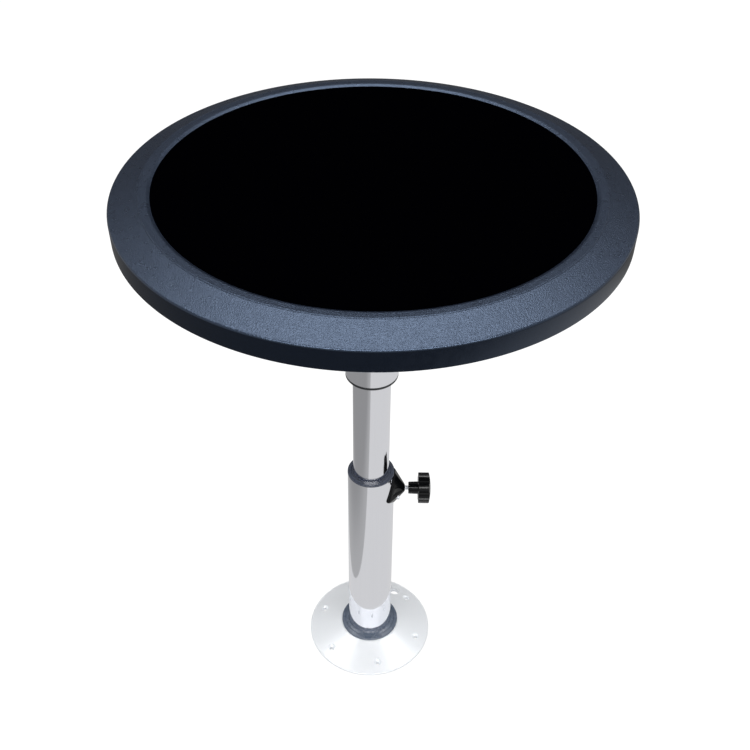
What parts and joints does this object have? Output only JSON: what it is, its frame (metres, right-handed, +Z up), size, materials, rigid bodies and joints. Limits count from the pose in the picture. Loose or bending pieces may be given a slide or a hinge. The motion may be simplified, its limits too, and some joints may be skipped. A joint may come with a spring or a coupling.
{
  "type": "lifting table",
  "caption": "Round lifting table with a grained rim and black inlay on a telescopic polished column, with a star-knob height clamp and a round floor plate.",
  "frame": {"origin": "centre of the floor plate's underside, on the column's axis", "axes": "+Z up along the column; +X towards the star knob, level with the floor"},
  "size_m": [0.5399, 0.54, 0.74],
  "materials": {
    "rim_grain": "moulded fine leather grain, navy charcoal",
    "black_inlay": "plain black, smooth",
    "board": "dark sealed board",
    "cast_grey": "cast, dark grey coated",
    "zinc_steel": "bright zinc plated",
    "polished_tube": "polished and clear anodised",
    "black_plastic": "moulded, semi-gloss black",
    "turned_alloy": "turned",
    "white_nylon": "natural nylon",
    "grey_plastic": "moulded dark blue-grey",
    "knob_black": "moulded black, fine texture",
    "turned_plate": "turned and bright anodised"
  },
  "bodies": {
    "stand": {"base_plate": "turned_plate", "base_spigot": "turned_alloy", "spigot_screws": "zinc_steel", "foot_ring": "grey_plastic", "lower_tube": "polished_tube", "guide_collar": "grey_plastic", "clamp_bracket": "black_plastic", "bracket_screws": "zinc_steel", "captive_nut": "zinc_steel"},
    "mast": {"inner_tube": "polished_tube", "tube_guide": "grey_plastic", "pivot_plug": "turned_alloy", "pivot_bolt": "zinc_steel"},
    "table_top": {"top_rim": "rim_grain", "inlay_panel": "black_inlay", "core_board": "board", "top_flange": "cast_grey", "flange_screws": "zinc_steel", "upper_sleeve": "polished_tube", "sleeve_grub_screws": "zinc_steel", "sleeve_bush_lower": "black_plastic", "sleeve_bush_upper": "black_plastic", "thrust_washer": "white_nylon"},
    "clamp_pad": {"pressure_pad": "white_nylon"},
    "clamp_screw": {"clamp_stud": "zinc_steel", "star_knob": "knob_black"}
  },
  "joints": [
    {"name": "height_slide", "type": "slide", "parent": "stand", "child": "mast", "axis": [0, 0, 1], "range_m": [-0.155, 0.06]},
    {"name": "top_swivel", "type": "hinge", "parent": "mast", "child": "table_top", "pos_m": [0, 0, 0.6], "axis": [0, 0, 1], "continuous": true},
    {"name": "pad_travel", "type": "slide", "parent": "stand", "child": "clamp_pad", "axis": [1, 0, 0], "range_m": [0, 0.002]},
    {"name": "knob_turn", "type": "hinge", "parent": "clamp_pad", "child": "clamp_screw", "pos_m": [0.0625, 0, 0.29], "axis": [1, 0, 0], "range_deg": [0, 720]}
  ],
  "couplings": [
    {"joint": "knob_turn", "follows": "pad_travel", "rad_per_m": 6283.2}
  ]
}
